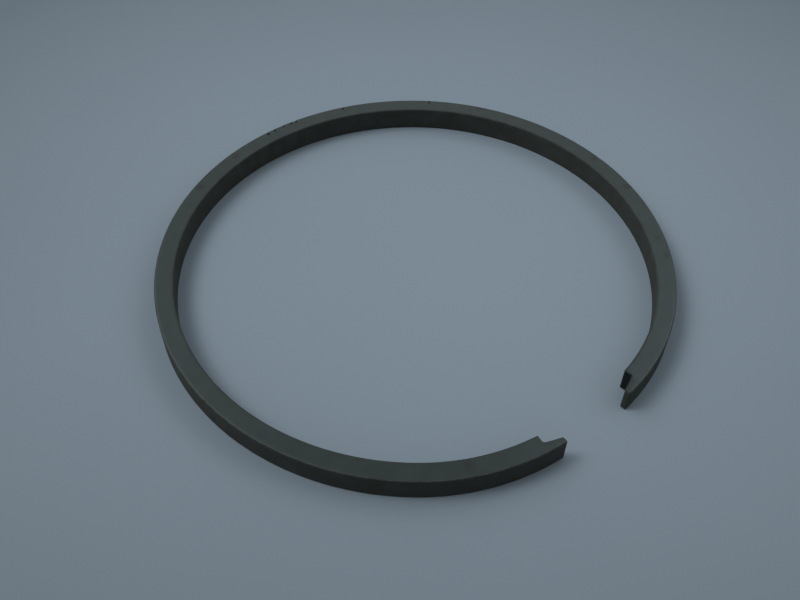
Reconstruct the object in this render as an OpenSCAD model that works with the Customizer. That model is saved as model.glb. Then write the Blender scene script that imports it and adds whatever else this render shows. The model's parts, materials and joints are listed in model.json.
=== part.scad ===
// Piston ring of a small two-stroke engine, lying free: one split ring of rectangular section that has
// sprung open, with a notch for a locating peg on the inside of each tip.
// The origin is on the axis of the ring's main arc at its lower side face, +Z is up, the gap is at -Y.

/* [Ring] */
// Outer diameter of the free ring, across its main arc
free_d = 40.1; // [36:0.1:44]
// Radial thickness, from the inner wall to the running face
wall = 1.45; // [1.2:0.05:2]
// Axial height, between the two side faces
height = 2; // [1.5:0.1:3]
// Width of the break on the long edges of the section
edge_break = 0.08; // [0.02:0.01:0.15]

/* [Gap] */
// Opening between the tips of the free ring, at the middle of the wall
free_gap = 6; // [5:0.1:9]
// Angle on each side of the gap's middle line within which the ring curves more tightly
end_angle = 40; // [30:1:42]
// How much smaller the ring's radius is on that stretch
end_curl = 2.5; // [1:0.1:4]

/* [Peg notch] */
// Length of the tongue that the notch leaves at each tip
tongue_length = 1.4; // [1:0.1:2.5]
// Thickness of the tongue at its root
tongue_root = 0.8; // [0.7:0.05:1.1]
// Thickness of the tongue at its tip
tongue_tip = 0.45; // [0.35:0.05:0.65]
// Radius of the corner between the tongue and the step of the notch
notch_corner = 0.15; // [0.1:0.05:0.3]

/* [Hidden] */
$fn = 180;

// Radii of the middle of the wall, on the main arc and on the end arcs
main_r = (free_d - wall) / 2;
end_r = main_r - end_curl;
// Radii of the end arcs' two walls
end_outer_r = end_r + wall / 2;
end_inner_r = end_r - wall / 2;
// Angles from the gap's middle line to the tip and to the step of the notch, about an end arc's centre
tip_angle = asin((free_gap / 2 - end_curl * sin(end_angle)) / end_r);
step_angle = tip_angle + tongue_length / end_r * 180 / PI;
// How far a cut runs past the faces that it opens
past = 1;

// Point at a radius and an angle about an end arc's centre, the angle measured from -Y towards +X
function at(r, angle) = [r * sin(angle), -r * cos(angle)];

// Section of the ring, with its inner wall at -X and its lower side face on the X axis
module section() {
    half = wall / 2;
    polygon([
        [-half + edge_break, 0], [half - edge_break, 0],
        [half, edge_break], [half, height - edge_break],
        [half - edge_break, height], [-half + edge_break, height],
        [-half, height - edge_break], [-half, edge_break]
    ]);
}

// Stretch of the ring between two angles from -Y
module arc(radius, from_angle, to_angle) {
    rotate_extrude(angle = to_angle - from_angle, start = from_angle - 90)
        translate([radius, 0]) section();
}

// Outline of the notch, drawn about the end arc's centre: a radial step, a sloping floor, a round corner
module notch_outline() {
    // The outline is drawn with the step on the Y axis, and the floor running from it towards the tip
    sweep = step_angle - tip_angle;
    root = [0, end_outer_r - tongue_root];
    tip = (end_outer_r - tongue_tip) * [sin(sweep), cos(sweep)];
    floor_run = tip - root;
    beyond = tip + floor_run / norm(floor_run) * past;
    slope = atan2(floor_run.y, floor_run.x);
    corner = root + notch_corner * [1, tan(slope) - 1 / cos(slope)];
    rotate(180 + step_angle) difference() {
        polygon([[0, end_inner_r - past], root, beyond, [beyond.x, end_inner_r - past]]);
        difference() {
            polygon([root, [0, corner.y], corner, corner + notch_corner * [-sin(slope), cos(slope)]]);
            translate(corner) circle(notch_corner);
        }
    }
}

// One end of the ring, on the +X side, with its notch cut
module ring_end() {
    translate(end_curl * at(1, end_angle)) difference() {
        arc(end_r, tip_angle, end_angle);
        translate([0, 0, -past]) linear_extrude(height + 2 * past) notch_outline();
    }
}

module piston_ring() {
    color([0.21, 0.235, 0.225]) union() {
        arc(main_r, end_angle, 360 - end_angle);
        ring_end();
        mirror([1, 0, 0]) ring_end();
    }
}

piston_ring();
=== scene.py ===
"""Models a piston ring that lies free on a plain pale sheet, in soft light mostly from the left."""

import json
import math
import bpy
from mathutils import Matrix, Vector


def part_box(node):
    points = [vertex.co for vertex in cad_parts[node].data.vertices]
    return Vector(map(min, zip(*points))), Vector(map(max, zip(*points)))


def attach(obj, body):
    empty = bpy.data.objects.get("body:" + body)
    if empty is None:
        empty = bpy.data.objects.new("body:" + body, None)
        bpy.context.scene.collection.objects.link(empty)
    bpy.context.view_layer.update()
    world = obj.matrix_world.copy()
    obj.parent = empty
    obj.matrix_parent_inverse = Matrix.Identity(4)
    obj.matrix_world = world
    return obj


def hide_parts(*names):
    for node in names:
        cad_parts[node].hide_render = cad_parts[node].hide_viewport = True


bl_info = {
    "name": "Piston Ring",
    "version": (1, 0, 0),
    "blender": (4, 5, 0),
    "location": "View3D > Sidebar > Piston Ring",
    "description": "Models a split piston ring with notched tips, its matt coat and the stage it lies on",
    "category": "Add Mesh",
}

import bmesh
import bpy
from bpy.props import FloatProperty, FloatVectorProperty, PointerProperty
from mathutils import Matrix, Vector

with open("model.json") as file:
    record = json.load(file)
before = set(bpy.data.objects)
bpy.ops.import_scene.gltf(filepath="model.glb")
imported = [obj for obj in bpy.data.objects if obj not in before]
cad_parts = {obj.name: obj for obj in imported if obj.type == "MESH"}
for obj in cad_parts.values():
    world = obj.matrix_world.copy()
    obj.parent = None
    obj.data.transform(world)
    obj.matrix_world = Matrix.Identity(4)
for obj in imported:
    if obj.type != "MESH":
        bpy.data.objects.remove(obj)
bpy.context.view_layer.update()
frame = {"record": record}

NODE = "piston_ring"
MM = 0.001
UP = Vector((0, 0, 1))
# Small length within which two places count as the same, in metres
SAME = 0.002 * MM

# Nicks in the upper side face: angle from the gap towards +X in degrees, then in millimetres
# the distance out from the middle of the wall, the length across the wall and the width
NICKS = (
    (181.3, 0.55, 0.56, 0.22),
    (179.2, 0.60, 0.66, 0.19),
    (176.6, 0.62, 0.44, 0.24),
    (174.4, 0.60, 0.48, 0.19),
    (172.9, 0.60, 0.54, 0.25),
    (159.6, 0.42, 0.36, 0.17),
    (136.4, 0.52, 0.42, 0.18),
)
# Stains on the upper side face: angle as above, distance out and size in millimetres, then strength
STAINS = (
    (330.7, -0.15, 0.60, 0.9),
    (315.5, 0.13, 0.50, 0.5),
    (289.1, 0.12, 0.55, 0.5),
    (206.8, 0.28, 0.55, 1.0),
    (193.1, 0.10, 0.38, 0.9),
    (122.9, 0.42, 0.38, 0.6),
    (88.0, 0.25, 0.45, 0.9),
    (75.6, 0.33, 0.45, 0.7),
    (57.0, 0.07, 0.45, 0.6),
    (51.3, 0.40, 0.45, 0.6),
)
# Softboxes: name, then azimuth from the gap towards +X and elevation in degrees, and power in watts
SOFTBOXES = (
    ("key", 231, 55, 0.0131),
    ("far_left", 186, 45, 0.0022),
    ("back", 141, 30, 0.0008),
    ("far_right", 96, 50, 0.0028),
    ("right", 51, 40, 0.0028),
)


def mount_radius(name):
    """Radius of one of the record's round mounts, in metres."""
    mounts = {mount["name"]: mount for mount in frame["record"]["mounts"]}
    return mounts[name]["dims"]["r_mm"] * MM


def colour(red, green, blue):
    """Linear colour of a tone that is written as a screen shows it, from 0 to 255."""
    tone = [channel / 255 for channel in (red, green, blue)]
    return [c / 12.92 if c <= 0.04045 else ((c + 0.055) / 1.055) ** 2.4 for c in tone]


def shaded(tone, factor):
    """A colour made lighter or darker."""
    return [channel * factor for channel in tone]


def length(label, text, default):
    """Property that holds a size in metres."""
    return FloatProperty(name=label, description=text, default=default, min=0, precision=5, unit="LENGTH")


def angle(label, text, degrees):
    """Property that holds an angle, given in degrees."""
    return FloatProperty(name=label, description=text, default=math.radians(degrees), unit="ROTATION")


def tint(label, text, default):
    """Property that holds a colour."""
    return FloatVectorProperty(name=label, description=text, default=default, subtype="COLOR", min=0, max=1)


class RingSizes(bpy.types.PropertyGroup):
    """Sizes of the free ring."""

    outer_radius: length("Outer radius", "Running face of the main arc", mount_radius("running_face"))
    height: length("Height", "Between the two side faces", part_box(NODE)[1].z)
    wall: length("Wall", "Radial thickness", 1.45 * MM)
    free_gap: length("Free gap", "Opening between the tips at the middle of the wall", 6 * MM)
    end_angle: angle("End angle", "Stretch beside the gap that curves more tightly", 40)
    end_curl: length("End curl", "How much smaller the radius is on that stretch", 2.5 * MM)
    edge_break: length("Edge break", "Width of the rounding on every edge", 0.08 * MM)
    tongue_length: length("Tongue length", "From the step of the notch to the tip", 1.4 * MM)
    tongue_root: length("Tongue root", "Thickness of the tongue at the step", 0.8 * MM)
    tongue_tip: length("Tongue tip", "Thickness of the tongue at the tip", 0.45 * MM)
    notch_corner: length("Notch corner", "Radius at the foot of the step", 0.15 * MM)


class RingFinish(bpy.types.PropertyGroup):
    """Colours and grain of the ring."""

    side: tint("Side faces", "Thin phosphate coat on the lapped side faces", colour(37, 45, 43))
    gloss: tint("Gloss", "Tint of the light that the side faces mirror", (0.74, 0.92, 1.0))
    wall: tint("Walls", "Matt phosphate coat on the turned walls", colour(61, 65, 63))
    bloom: tint("Bloom", "Tint of the darker, olive patches in the coat", (0.85, 0.8, 0.55))
    rubbed: tint("Rubbed", "Coat rubbed thin on the outer edges", colour(70, 77, 73))
    stain: tint("Stain", "Brownish stains on the coat", colour(18, 14, 8))
    # Painted shade: the cut faces in the notches are given a nearly black colour for the shade in the
    # notch's recess
    cut: tint("Cut faces", "Dark faces that the cutter left in the notches", colour(15, 17, 21))
    nick: tint("Nicks", "Darkened iron in the nicks", colour(18, 20, 17))
    grain: length("Grain", "Size of the coat's crystals", 0.09 * MM)


class StageSettings(bpy.types.PropertyGroup):
    """Floor, light and camera."""

    floor: tint("Floor", "Pale sheet that the ring lies on", colour(127, 142, 154))
    floor_flat: length("Flat floor", "Radius within which the sheet lies flat", 0.3)
    floor_reach: length("Floor reach", "Radius at which the sheet ends", 1.5)
    floor_rise: length("Floor rise", "Height of the sheet where it ends", 0.2)
    room: FloatProperty(name="Room", description="Strength of the even light from all round", default=0.275)
    softbox_size: length("Softbox size", "Width of each softbox", 0.09)
    softbox_distance: length("Softbox distance", "From each softbox to the point that it lights", 0.12)
    softbox_spread: angle("Softbox spread", "How widely each softbox's grid lets the light fan out", 46)
    softbox_aim: FloatVectorProperty(
        name="Softbox aim",
        description="Point on the floor that the softboxes point at",
        default=(8 * MM, 2 * MM, 0),
        subtype="XYZ",
        unit="LENGTH",
        precision=5,
    )
    azimuth: angle("Azimuth", "Camera's place round the ring, from the gap towards +X", -39.5)
    elevation: angle("Elevation", "Camera's height above the floor", 48.48)
    roll: angle("Roll", "Turn of the camera about its own view", 0.385)
    distance: length("Distance", "From the camera to the point that it looks at", 71.96 * MM)
    lens: FloatProperty(
        name="Lens",
        description="Focal length on a 36 mm sensor",
        default=41.74,
        unit="CAMERA",
    )
    aim: FloatVectorProperty(
        name="Aim",
        description="Point on the floor that the camera looks at",
        default=(-2.68 * MM, -1.44 * MM, 0),
        subtype="XYZ",
        unit="LENGTH",
        precision=5,
    )


def polar(radius, turn):
    """Point at a radius and at an angle from -Y towards +X."""
    return Vector((radius * math.sin(turn), -radius * math.cos(turn), 0))


def start_edit(piece):
    """Opens one object's mesh for editing, with nothing selected in it."""
    bpy.ops.object.select_all(action="DESELECT")
    bpy.context.view_layer.objects.active = piece
    piece.select_set(True)
    bpy.ops.object.mode_set(mode="EDIT")
    bpy.ops.mesh.select_mode(type="VERT")
    bpy.ops.mesh.select_all(action="DESELECT")


def end_edit():
    """Goes back to object mode."""
    bpy.ops.object.mode_set(mode="OBJECT")


def select_vertices(piece, test):
    """Selects the vertices whose places pass a test, with the edges and faces between them."""
    bpy.ops.mesh.select_mode(type="VERT")
    bpy.ops.mesh.select_all(action="DESELECT")
    mesh = bmesh.from_edit_mesh(piece.data)
    for vertex in mesh.verts:
        vertex.select = test(vertex.co)
    mesh.select_flush(True)
    bmesh.update_edit_mesh(piece.data)


def resize_along(outward, factors, centre):
    """Resizes what is selected by factors along an outward direction, across it and upwards."""
    axes = Matrix((outward, UP.cross(outward), UP)).transposed()
    bpy.ops.transform.resize(
        value=factors,
        orient_type="LOCAL",
        orient_matrix=axes,
        orient_matrix_type="LOCAL",
        center_override=centre,
    )


def apply_modifier(piece, modifier):
    """Applies one modifier of a piece to its mesh."""
    bpy.ops.object.select_all(action="DESELECT")
    bpy.context.view_layer.objects.active = piece
    piece.select_set(True)
    bpy.ops.object.modifier_apply(modifier=modifier.name)


class RingPath:
    """Where the wall of the free ring runs, worked out from its sizes."""

    def __init__(self, sizes):
        self.sizes = sizes
        self.main_radius = sizes.outer_radius - sizes.wall / 2
        self.end_radius = self.main_radius - sizes.end_curl
        self.end_outer = self.end_radius + sizes.wall / 2
        reach = sizes.free_gap / 2 - sizes.end_curl * math.sin(sizes.end_angle)
        self.tip_angle = math.asin(reach / self.end_radius)
        self.step_angle = self.tip_angle + sizes.tongue_length / self.end_radius

    def end_centre(self, side):
        """Centre of the end arc on the +X or the -X side."""
        return polar(self.sizes.end_curl, side * self.sizes.end_angle)

    def about_end(self, place, side):
        """Radius and angle of a place about an end arc's centre, the angle counted from -Y to that side."""
        offset = place - self.end_centre(side)
        return math.hypot(offset.x, offset.y), side * math.atan2(offset.x, -offset.y)

    def outward(self, place):
        """How far a place lies outside the middle of the wall."""
        side = 1 if place.x > 0 else -1
        radius, turn = self.about_end(place, side)
        if turn < self.sizes.end_angle and place.y < 0:
            return radius - self.end_radius
        return math.hypot(place.x, place.y) - self.main_radius

    def on_upper_side(self, degrees, outward):
        """Place on the upper side face of the main arc, so many mm out from the middle of the wall."""
        return polar(self.main_radius + outward * MM, math.radians(degrees)) + UP * self.sizes.height


class AddPistonRing(bpy.types.Operator):
    """Model the ring as one piece: section, arcs, tongues, broken edges, nicks and coat"""

    bl_idname = "mesh.add_piston_ring"
    bl_label = "Piston Ring"
    bl_options = {"REGISTER", "UNDO"}

    def execute(self, context):
        sizes = context.scene.ring_sizes
        finish = context.scene.ring_finish
        path = RingPath(sizes)
        ring = self.draw_section(sizes, path)
        self.sweep_arcs(sizes, path)
        for side in (1, -1):
            self.draw_tongue(ring, sizes, path, side)
        self.break_edges(ring, sizes, path)
        end_edit()
        for material in (lapped_side(finish, path), turned_wall(finish, path), cut_iron_painted_shade(finish)):
            ring.data.materials.append(material)
        self.mark_upright_faces(ring, sizes, path)
        self.cut_nicks(ring, finish, path)
        self.smooth(ring)
        self.mark_edges(ring, sizes, path)
        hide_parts(NODE)
        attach(ring, "root")
        return {"FINISHED"}

    def draw_section(self, sizes, path):
        """Section of the ring as a cut-up plane, standing on the step of the notch at the +X end."""
        bpy.ops.object.select_all(action="DESELECT")
        bpy.ops.mesh.primitive_plane_add(size=1)
        ring = bpy.context.object
        ring.name = "ring"
        ring.data.name = "ring"
        start_edit(ring)
        bpy.ops.mesh.select_all(action="SELECT")
        bpy.ops.transform.resize(value=(sizes.wall, sizes.height, 1))
        bpy.ops.transform.rotate(value=math.pi / 2, orient_axis="X", center_override=(0, 0, 0))
        bpy.ops.transform.translate(value=(path.end_radius, 0, sizes.height / 2))
        margin = 2.5 * sizes.edge_break
        root = path.end_outer - sizes.tongue_root
        for radius in (path.end_outer - sizes.wall + margin, root, path.end_outer - margin):
            self.cut((radius, 0, 0), (1, 0, 0))
        for z in (margin, sizes.height / 2, sizes.height - margin):
            self.cut((0, 0, z), (0, 0, 1))
        bpy.ops.mesh.select_all(action="SELECT")
        turn = math.pi / 2 - path.step_angle
        bpy.ops.transform.rotate(value=turn, orient_axis="Z", center_override=(0, 0, 0))
        bpy.ops.transform.translate(value=path.end_centre(1))
        return ring

    def cut(self, place, normal):
        """Cuts the whole section along a plane."""
        bpy.ops.mesh.select_all(action="SELECT")
        bpy.ops.mesh.bisect(plane_co=place, plane_no=normal)

    def sweep(self, centre, turn, step=math.radians(1)):
        """Turns what is selected about an upright axis, leaving the wall that it sweeps out."""
        steps = max(1, round(abs(turn) / step))
        bpy.ops.mesh.spin(steps=steps, angle=abs(turn), center=centre, axis=(0, 0, -math.copysign(1, turn)))

    def sweep_arcs(self, sizes, path):
        """Sweeps the section round from one step to the other."""
        bpy.ops.mesh.select_all(action="SELECT")
        end_turn = sizes.end_angle - path.step_angle
        self.sweep(path.end_centre(1), end_turn)
        self.sweep((0, 0, 0), 2 * math.pi - 2 * sizes.end_angle)
        self.sweep(path.end_centre(-1), end_turn)

    def draw_tongue(self, ring, sizes, path, side):
        """Draws the thinner tongue on from the outer part of a step, and narrows it towards its tip."""
        root = path.end_outer - sizes.tongue_root

        def on_step(place):
            radius, turn = path.about_end(place, side)
            return abs(turn - path.step_angle) * radius < SAME and radius > root - SAME

        select_vertices(ring, on_step)
        steps = 4
        sweep = path.step_angle - path.tip_angle
        self.sweep(path.end_centre(side), -side * sweep, sweep / steps)
        for index in range(1, steps + 1):
            turn = path.step_angle - sweep * index / steps
            self.narrow_tongue(ring, sizes, path, side, turn, index / steps)

    def narrow_tongue(self, ring, sizes, path, side, turn, share):
        """Narrows one cross-section of a tongue towards the running face."""

        def here(place):
            radius, place_turn = path.about_end(place, side)
            return abs(place_turn - turn) * radius < SAME

        select_vertices(ring, here)
        factor = 1 - share * (1 - sizes.tongue_tip / sizes.tongue_root)
        running_face = path.end_centre(side) + polar(path.end_outer, side * turn)
        resize_along(polar(1, side * turn), (factor, 1, 1), running_face)

    def break_edges(self, ring, sizes, path):
        """Rounds the foot of each step, and then every sharp edge."""
        root = path.end_outer - sizes.tongue_root

        def step_foot(place):
            radius, turn = path.about_end(place, 1 if place.x > 0 else -1)
            return abs(turn - path.step_angle) * radius < SAME and abs(radius - root) < SAME

        select_vertices(ring, step_foot)
        bpy.ops.mesh.bevel(offset=sizes.notch_corner, segments=5, affect="EDGES")
        bpy.ops.mesh.select_mode(type="EDGE")
        bpy.ops.mesh.select_all(action="DESELECT")
        bpy.ops.mesh.edges_select_sharp(sharpness=math.radians(50))
        bpy.ops.mesh.bevel(offset=sizes.edge_break, segments=3, affect="EDGES")
        bpy.ops.mesh.select_all(action="SELECT")
        bpy.ops.mesh.normals_make_consistent(inside=False)

    def mark_upright_faces(self, ring, sizes, path):
        """Gives the walls and broken edges the second material, and the notches' cut faces the third, whose
        nearly black tone is painted shade.
        """
        # How far a face's normal points up or down: at least on a side face, at most on a cut face
        side_face, cut_face = 0.98, 0.5
        for face in ring.data.polygons:
            lean = abs(face.normal.z)
            if lean > side_face:
                continue
            side = 1 if face.center.x > 0 else -1
            radius, turn = path.about_end(face.center, side)
            outward = face.center - path.end_centre(side)
            faces_out = face.normal.dot(outward.normalized()) > 0.5
            beyond_tip = (turn - path.tip_angle) * radius > sizes.edge_break + SAME
            before_step = (path.step_angle - turn) * radius > -SAME
            in_notch = beyond_tip and before_step and not faces_out and face.center.y < 0
            # The notch's cut faces get the nearly black material, a painted shade for the recess
            face.material_index = 2 if in_notch and lean < cut_face else 1

    def cut_nicks(self, ring, finish, path):
        """Cuts small scoops, long across the wall, out of the upper side face."""
        bpy.ops.object.select_all(action="DESELECT")
        bpy.ops.mesh.primitive_ico_sphere_add(subdivisions=2, radius=MM)
        cutter = bpy.context.object
        start_edit(cutter)
        bpy.ops.mesh.select_all(action="SELECT")
        bpy.ops.mesh.delete(type="VERT")
        for degrees, outward, across, width in NICKS:
            centre = path.on_upper_side(degrees, outward)
            bpy.ops.mesh.primitive_ico_sphere_add(subdivisions=2, radius=MM, location=centre)
            resize_along(polar(1, math.radians(degrees)), (across / 2, width / 2, width / 2), centre)
            bpy.ops.mesh.select_all(action="DESELECT")
        end_edit()
        cutter.data.materials.append(darkened_iron(finish))
        modifier = ring.modifiers.new("nicks", "BOOLEAN")
        modifier.object = cutter
        modifier.solver = "MANIFOLD"
        modifier.material_mode = "TRANSFER"
        apply_modifier(ring, modifier)
        bpy.data.objects.remove(cutter)

    def smooth(self, ring):
        """Shades the ring smoothly, with its flat faces kept flat."""
        bpy.ops.object.shade_smooth_by_angle(angle=math.radians(40))
        modifier = ring.modifiers.new("flat_faces", "WEIGHTED_NORMAL")
        modifier.keep_sharp = True
        apply_modifier(ring, modifier)

    def mark_edges(self, ring, sizes, path):
        """Stores which vertices are on a long outer edge, for the coat to be rubbed there."""
        near = ring.data.attributes.new("edge", "FLOAT", "POINT")
        inside = sizes.wall / 2 - sizes.edge_break - SAME
        low = sizes.edge_break + SAME
        for vertex, value in zip(ring.data.vertices, near.data):
            beside = path.outward(vertex.co) > inside
            above = not low < vertex.co.z < sizes.height - low
            value.value = float(beside and above)


class NodeTree:
    """Short ways to add and join the nodes of a material."""

    def __init__(self, name):
        self.material = bpy.data.materials.new(name)
        self.material.use_nodes = True
        self.tree = self.material.node_tree
        self.shader = self.tree.nodes["Principled BSDF"]

    def add(self, kind, **settings):
        """Adds a node and sets its own settings."""
        node = self.tree.nodes.new(kind)
        for key, value in settings.items():
            setattr(node, key, value)
        return node

    def feed(self, socket, value):
        """Joins an output to an input, or sets a plain value on it."""
        if isinstance(value, bpy.types.NodeSocket):
            self.tree.links.new(value, socket)
        else:
            socket.default_value = value

    def place(self):
        """Object coordinates in millimetres."""
        coordinates = self.add("ShaderNodeTexCoord")
        return self.stretched(coordinates.outputs["Object"], (1 / MM,) * 3)

    def stretched(self, place, factors):
        """Coordinates multiplied along each axis."""
        node = self.add("ShaderNodeMapping")
        node.inputs["Scale"].default_value = factors
        self.feed(node.inputs["Vector"], place)
        return node.outputs["Vector"]

    def unrolled(self, place, radius):
        """Coordinates along the ring from the point opposite the gap, out from its axis and up it."""
        parts = self.add("ShaderNodeSeparateXYZ")
        self.feed(parts.inputs["Vector"], place)
        turn = self.math("ARCTAN2", parts.outputs["X"], parts.outputs["Y"])
        flat = self.add("ShaderNodeVectorMath", operation="MULTIPLY")
        self.feed(flat.inputs[0], place)
        self.feed(flat.inputs[1], (1, 1, 0))
        out = self.add("ShaderNodeVectorMath", operation="LENGTH")
        self.feed(out.inputs[0], flat.outputs["Vector"])
        joined = self.add("ShaderNodeCombineXYZ")
        self.feed(joined.inputs["X"], self.math("MULTIPLY", turn, radius))
        self.feed(joined.inputs["Y"], out.outputs["Value"])
        self.feed(joined.inputs["Z"], parts.outputs["Z"])
        return joined.outputs["Vector"]

    def noise(self, place, scale, detail=2.0, roughness=0.5, output="Fac"):
        """Cloudy pattern with so many lumps to a millimetre."""
        node = self.add("ShaderNodeTexNoise")
        node.inputs["Scale"].default_value = scale
        node.inputs["Detail"].default_value = detail
        node.inputs["Roughness"].default_value = roughness
        self.feed(node.inputs["Vector"], place)
        return node.outputs[output]

    def ramp(self, value, low, high, to_low=0.0, to_high=1.0):
        """Stretches the values between two limits over a new range."""
        node = self.add("ShaderNodeMapRange")
        for name, limit in zip(("From Min", "From Max", "To Min", "To Max"), (low, high, to_low, to_high)):
            self.feed(node.inputs[name], limit)
        self.feed(node.inputs["Value"], value)
        return node.outputs["Result"]

    def math(self, operation, first, second):
        """Result of a sum with two values."""
        node = self.add("ShaderNodeMath", operation=operation)
        self.feed(node.inputs[0], first)
        self.feed(node.inputs[1], second)
        return node.outputs["Value"]

    def wobbled(self, place, scale, reach):
        """Coordinates pushed about by a cloudy pattern, to make what is drawn on them ragged."""
        node = self.add("ShaderNodeVectorMath", operation="MULTIPLY_ADD")
        self.feed(node.inputs[0], self.noise(place, scale, detail=3, output="Color"))
        self.feed(node.inputs[1], (2 * reach,) * 3)
        self.feed(node.inputs[2], place)
        shift = self.add("ShaderNodeVectorMath", operation="SUBTRACT")
        self.feed(shift.inputs[0], node.outputs["Vector"])
        self.feed(shift.inputs[1], (reach,) * 3)
        return shift.outputs["Vector"]

    def spot(self, place, centre, inner, outer, strength=1.0):
        """Round patch about a point, even out to one radius and fading to nothing at another."""
        node = self.add("ShaderNodeVectorMath", operation="DISTANCE")
        self.feed(node.inputs[0], place)
        self.feed(node.inputs[1], centre)
        return self.ramp(node.outputs["Value"], inner, outer, strength, 0.0)

    def mix(self, factor, first, second):
        """Colour between two colours, each an output or a plain colour."""
        node = self.add("ShaderNodeMix", data_type="RGBA")
        self.feed(node.inputs["Factor"], factor)
        for name, value in (("A", first), ("B", second)):
            socket = [s for s in node.inputs if s.name == name and s.type == "RGBA"][0]
            self.feed(socket, value if isinstance(value, bpy.types.NodeSocket) else (*value, 1))
        return [s for s in node.outputs if s.type == "RGBA"][0]

    def bump(self, height, depth, normal=None):
        """Raises the surface by a pattern, the depth given in metres."""
        node = self.add("ShaderNodeBump")
        node.inputs["Strength"].default_value = 1
        node.inputs["Distance"].default_value = depth
        self.feed(node.inputs["Height"], height)
        if normal:
            self.feed(node.inputs["Normal"], normal)
        return node.outputs["Normal"]


def phosphate_coat(name, coat, finish):
    """Phosphate coat of fine crystals, cloudy in tone: its nodes, coordinates, crystals and colour."""
    nodes = NodeTree(name)
    place = nodes.place()
    clouds = nodes.ramp(nodes.noise(place, 0.8, detail=4), 0.3, 0.7)
    mirrored = nodes.stretched(place, (-1, 1, 1))
    patches = nodes.ramp(nodes.noise(mirrored, 1.0, detail=4), 0.4, 0.65, 0.0, 0.7)
    crystals = nodes.noise(place, MM / finish.grain, detail=3, roughness=0.7)
    tone = nodes.mix(clouds, shaded(coat, 0.98), shaded(coat, 1.26))
    tone = nodes.mix(patches, tone, [channel * share for channel, share in zip(coat, finish.bloom)])
    tone = nodes.mix(nodes.ramp(crystals, 0.35, 0.65, 0.0, 0.5), tone, shaded(coat, 0.45))
    return nodes, place, crystals, tone


def lapped_side(finish, path):
    """Lapped side faces under a thin coat, with faint streaks across and a few stains."""
    nodes, place, crystals, tone = phosphate_coat("lapped_side", finish.side, finish)
    unrolled = nodes.unrolled(place, path.main_radius / MM)
    streaks = nodes.ramp(nodes.noise(nodes.stretched(unrolled, (2.2, 0.2, 0.2)), 1, detail=3), 0.35, 0.65)
    tone = nodes.mix(nodes.math("MULTIPLY", streaks, 0.3), tone, shaded(finish.side, 0.75))
    ragged = nodes.wobbled(place, 4, 0.3)
    stained = 0.0
    for degrees, outward, size, strength in STAINS:
        centre = path.on_upper_side(degrees, outward) / MM
        stained = nodes.math("MAXIMUM", stained, nodes.spot(ragged, centre, 0.2 * size, size, strength))
    nodes.feed(nodes.shader.inputs["Base Color"], nodes.mix(stained, tone, finish.stain))
    nodes.shader.inputs["Specular IOR Level"].default_value = 0.62
    nodes.shader.inputs["Specular Tint"].default_value = (*finish.gloss, 1)
    dull = nodes.ramp(crystals, 0.3, 0.7, 0.30, 0.38)
    nodes.feed(nodes.shader.inputs["Roughness"], nodes.ramp(stained, 0, 1, dull, 0.5))
    nodes.feed(nodes.shader.inputs["Normal"], nodes.bump(crystals, 0.007 * MM))
    return nodes.material


def turned_wall(finish, path):
    """Turned walls under a matt coat, with fine marks round the ring and slightly rubbed outer edges."""
    nodes, place, crystals, tone = phosphate_coat("turned_wall", finish.wall, finish)
    unrolled = nodes.unrolled(place, path.main_radius / MM)
    turning = nodes.noise(nodes.stretched(unrolled, (0.03, 0.03, 16)), 1, detail=3, roughness=0.6)
    tone = nodes.mix(nodes.ramp(turning, 0.35, 0.65, 0.0, 0.3), tone, shaded(finish.wall, 0.7))
    edge = nodes.add("ShaderNodeAttribute", attribute_name="edge").outputs["Fac"]
    patchy = nodes.ramp(nodes.noise(place, 2.2, detail=5, roughness=0.65), 0.4, 0.65)
    rubbed = nodes.math("MULTIPLY", edge, patchy)
    nodes.feed(nodes.shader.inputs["Base Color"], nodes.mix(rubbed, tone, finish.rubbed))
    nodes.shader.inputs["Specular IOR Level"].default_value = 0.1
    nodes.feed(nodes.shader.inputs["Roughness"], nodes.ramp(crystals, 0.3, 0.7, 0.55, 0.65))
    normal = nodes.bump(turning, 0.004 * MM)
    nodes.feed(nodes.shader.inputs["Normal"], nodes.bump(crystals, 0.007 * MM, normal))
    return nodes.material


def cut_iron_painted_shade(finish):
    """Iron that a cutter left smooth, with fine marks up and down; its nearly black tone is painted shade
    for the recess of the notch.
    """
    nodes = NodeTree("cut_iron_painted_shade")
    place = nodes.place()
    marks = nodes.noise(nodes.stretched(place, (14, 14, 0.6)), 1, detail=2)
    tone = nodes.mix(nodes.ramp(marks, 0.35, 0.65), shaded(finish.cut, 0.8), shaded(finish.cut, 1.2))
    nodes.feed(nodes.shader.inputs["Base Color"], tone)
    nodes.shader.inputs["Specular IOR Level"].default_value = 0.2
    nodes.feed(nodes.shader.inputs["Roughness"], nodes.ramp(marks, 0.3, 0.7, 0.4, 0.5))
    nodes.feed(nodes.shader.inputs["Normal"], nodes.bump(marks, 0.003 * MM))
    return nodes.material


def darkened_iron(finish):
    """Iron laid open in a nick and darkened since."""
    nodes = NodeTree("darkened_iron")
    grit = nodes.noise(nodes.place(), 20, detail=2)
    tone = nodes.mix(nodes.ramp(grit, 0.3, 0.7), shaded(finish.nick, 0.7), shaded(finish.nick, 1.3))
    nodes.feed(nodes.shader.inputs["Base Color"], tone)
    nodes.shader.inputs["Specular IOR Level"].default_value = 0.2
    nodes.shader.inputs["Roughness"].default_value = 0.7
    nodes.feed(nodes.shader.inputs["Normal"], nodes.bump(grit, 0.01 * MM))
    return nodes.material


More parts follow.
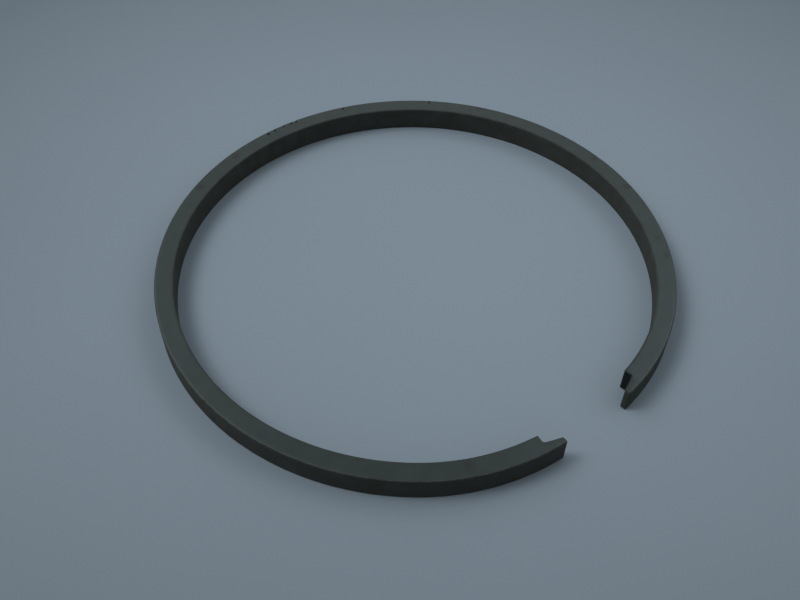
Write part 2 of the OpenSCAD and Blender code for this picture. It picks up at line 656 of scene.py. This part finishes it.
def pale_sheet(stage):
    """Plain pale floor with a very faint cloudiness, and painted light that makes it lighter far out, where
    the softboxes don't reach.
    """
    nodes = NodeTree("pale_sheet")
    place = nodes.place()
    clouds = nodes.ramp(nodes.noise(place, 0.03, detail=2), 0.3, 0.7)
    tone = nodes.mix(clouds, shaded(stage.floor, 0.985), shaded(stage.floor, 1.015))
    # Distances in millimetres at which the softboxes' light on the floor begins and ends its fading; over
    # this span painted light makes the sheet lighter in its place
    lit_to, dim_from = 58, 104
    lit = nodes.spot(place, Vector(stage.softbox_aim) / MM, lit_to, dim_from)
    # Painted light: far out the sheet's colour is multiplied by 2.15, standing in for the light that the
    # softboxes don't give there
    painted_far_light = shaded(stage.floor, 2.15)
    nodes.feed(nodes.shader.inputs["Base Color"], nodes.mix(lit, painted_far_light, tone))
    nodes.shader.inputs["Roughness"].default_value = 0.8
    nodes.shader.inputs["Specular IOR Level"].default_value = 0.2
    return nodes.material


class AddRingStage(bpy.types.Operator):
    """Add the floor, the soft light and the camera"""

    bl_idname = "scene.add_ring_stage"
    bl_label = "Stage"
    bl_options = {"REGISTER", "UNDO"}

    def execute(self, context):
        stage = context.scene.ring_stage
        context.scene.view_settings.view_transform = "Standard"
        self.add_floor(stage)
        self.add_room_light(context, stage)
        for softbox in SOFTBOXES:
            self.add_softbox(context, stage, *softbox)
        self.add_camera(context, stage)
        return {"FINISHED"}

    def add_floor(self, stage):
        """Wide pale sheet under the ring, which curves up a little far out and so hides the horizon."""
        bpy.ops.object.select_all(action="DESELECT")
        bpy.ops.mesh.primitive_circle_add(vertices=96, radius=stage.floor_flat, fill_type="NGON")
        floor = bpy.context.object
        floor.name = "floor"
        start_edit(floor)
        bpy.ops.mesh.select_all(action="SELECT")
        bpy.ops.mesh.region_to_loop()
        steps = 12
        radius, height = stage.floor_flat, 0
        for index in range(1, steps + 1):
            share = index / steps
            grown = stage.floor_flat + share * (stage.floor_reach - stage.floor_flat)
            raised = share**2 * stage.floor_rise
            bpy.ops.mesh.extrude_edges_indiv()
            bpy.ops.transform.resize(value=(grown / radius, grown / radius, 1), center_override=(0, 0, 0))
            bpy.ops.transform.translate(value=(0, 0, raised - height))
            radius, height = grown, raised
        end_edit()
        bpy.ops.object.shade_smooth()
        floor.data.materials.append(pale_sheet(stage))

    def add_room_light(self, context, stage):
        """Weak even light from all round."""
        world = bpy.data.worlds.new("room")
        world.use_nodes = True
        background = world.node_tree.nodes["Background"]
        background.inputs["Color"].default_value = (1, 1, 1, 1)
        background.inputs["Strength"].default_value = stage.room
        context.scene.world = world

    def add_softbox(self, context, stage, name, azimuth, elevation, power):
        """Square softbox with a grid, which points at the place on the floor that all of them light."""
        lamp = bpy.data.lights.new(name, "AREA")
        lamp.size = stage.softbox_size
        lamp.spread = stage.softbox_spread
        lamp.energy = power
        softbox = bpy.data.objects.new(name, lamp)
        away = self.direction(math.radians(azimuth), math.radians(elevation))
        softbox.location = Vector(stage.softbox_aim) + away * stage.softbox_distance
        softbox.rotation_euler = (-away).to_track_quat("-Z", "Y").to_euler()
        context.scene.collection.objects.link(softbox)

    def add_camera(self, context, stage):
        """Camera at its place round the ring, near enough to see it in strong perspective."""
        away = self.direction(stage.azimuth, stage.elevation)
        lens = bpy.data.cameras.new("camera")
        lens.lens = stage.lens
        lens.sensor_width = 36
        lens.clip_start = 1 * MM
        camera = bpy.data.objects.new("camera", lens)
        camera.location = Vector(stage.aim) + away * stage.distance
        looking = (-away).to_track_quat("-Z", "Y").to_matrix()
        camera.rotation_euler = (looking @ Matrix.Rotation(stage.roll, 3, "Z")).to_euler()
        context.scene.collection.objects.link(camera)
        context.scene.camera = camera

    def direction(self, azimuth, elevation):
        """Direction at an azimuth from -Y towards +X and at an elevation."""
        return polar(math.cos(elevation), azimuth) + UP * math.sin(elevation)


class PistonRingPanel(bpy.types.Panel):
    """Sizes, finish and stage of the piston ring"""

    bl_idname = "VIEW3D_PT_piston_ring"
    bl_label = "Piston Ring"
    bl_space_type = "VIEW_3D"
    bl_region_type = "UI"
    bl_category = "Piston Ring"

    def draw(self, context):
        groups = (
            (context.scene.ring_sizes, AddPistonRing),
            (context.scene.ring_finish, None),
            (context.scene.ring_stage, AddRingStage),
        )
        for group, operator in groups:
            box = self.layout.box()
            for name in group.__annotations__:
                box.prop(group, name)
            if operator:
                box.operator(operator.bl_idname)


CLASSES = (RingSizes, RingFinish, StageSettings, AddPistonRing, AddRingStage, PistonRingPanel)


def register():
    """Adds the classes, and the three groups of settings to the scene."""
    for cls in CLASSES:
        bpy.utils.register_class(cls)
    bpy.types.Scene.ring_sizes = PointerProperty(type=RingSizes)
    bpy.types.Scene.ring_finish = PointerProperty(type=RingFinish)
    bpy.types.Scene.ring_stage = PointerProperty(type=StageSettings)


def unregister():
    """Takes the settings and the classes away again."""
    del bpy.types.Scene.ring_stage
    del bpy.types.Scene.ring_finish
    del bpy.types.Scene.ring_sizes
    for cls in reversed(CLASSES):
        bpy.utils.unregister_class(cls)


def main():
    """Makes the stage and the ring."""
    register()
    bpy.ops.scene.add_ring_stage()
    bpy.ops.mesh.add_piston_ring()


if __name__ == "__main__":
    main()
